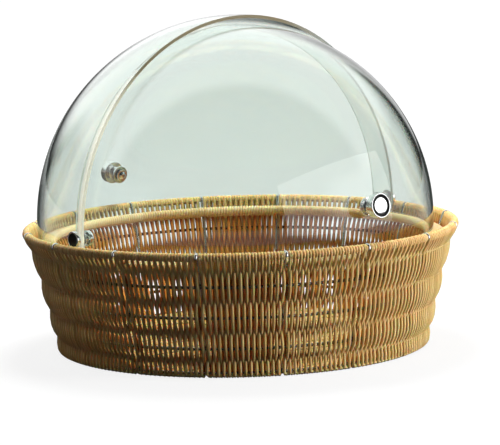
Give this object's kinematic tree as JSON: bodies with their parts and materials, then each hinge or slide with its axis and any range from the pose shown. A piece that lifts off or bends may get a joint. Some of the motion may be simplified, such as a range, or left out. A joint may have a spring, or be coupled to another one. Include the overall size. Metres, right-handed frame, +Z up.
{
  "type": "roll-top display basket",
  "caption": "Round basket woven of plastic rattan on a wire frame, under a clear two-shell dome whose front half rolls back on side pivots and which lifts off.",
  "frame": {"origin": "centre of the woven floor's underside, on the surface that the basket stands on", "axes": "+Z up; X along the dome's pivot axis; the shell that rolls open faces -Y"},
  "size_m": [0.4086, 0.413, 0.3099],
  "materials": {
    "wire": "bright drawn stainless wire",
    "rattan": "satin plastic rattan strand, honey brown",
    "chrome": "polished chrome plate",
    "spacer": "clear plastic spacer ring",
    "clear_acrylic": "clear polished acrylic, faint grey-green tint"
  },
  "bodies": {
    "basket": {"base_ring": "wire", "ring_lower": "wire", "ring_middle": "wire", "ring_upper": "wire", "rim_wire": "wire", "ledge_wire": "wire", "ledge_outer_wire": "wire", "uprights": "wire", "floor_wires": "wire", "woven_wall": "rattan", "woven_ledge": "rattan", "woven_floor": "rattan"},
    "hood": {"rear_shell": "clear_acrylic", "rear_knob": "chrome", "rear_knob_washer": "chrome", "rear_knob_screw": "chrome", "pivot_pin_left": "chrome", "pivot_pin_right": "chrome", "pivot_spacer_left": "spacer", "pivot_spacer_right": "spacer", "pivot_cap_left": "chrome", "pivot_cap_right": "chrome"},
    "front_cover": {"front_shell": "clear_acrylic", "front_knob": "chrome", "front_knob_washer": "chrome", "front_knob_screw": "chrome"}
  },
  "joints": [
    {"name": "hood_lift", "type": "slide", "parent": "basket", "child": "hood", "axis": [0, 0, 1], "range_m": [0, 0.2]},
    {"name": "front_roll", "type": "hinge", "parent": "hood", "child": "front_cover", "pos_m": [0, 0, 0.11992], "axis": [-1, 0, 0], "range_deg": [0, 78]}
  ]
}
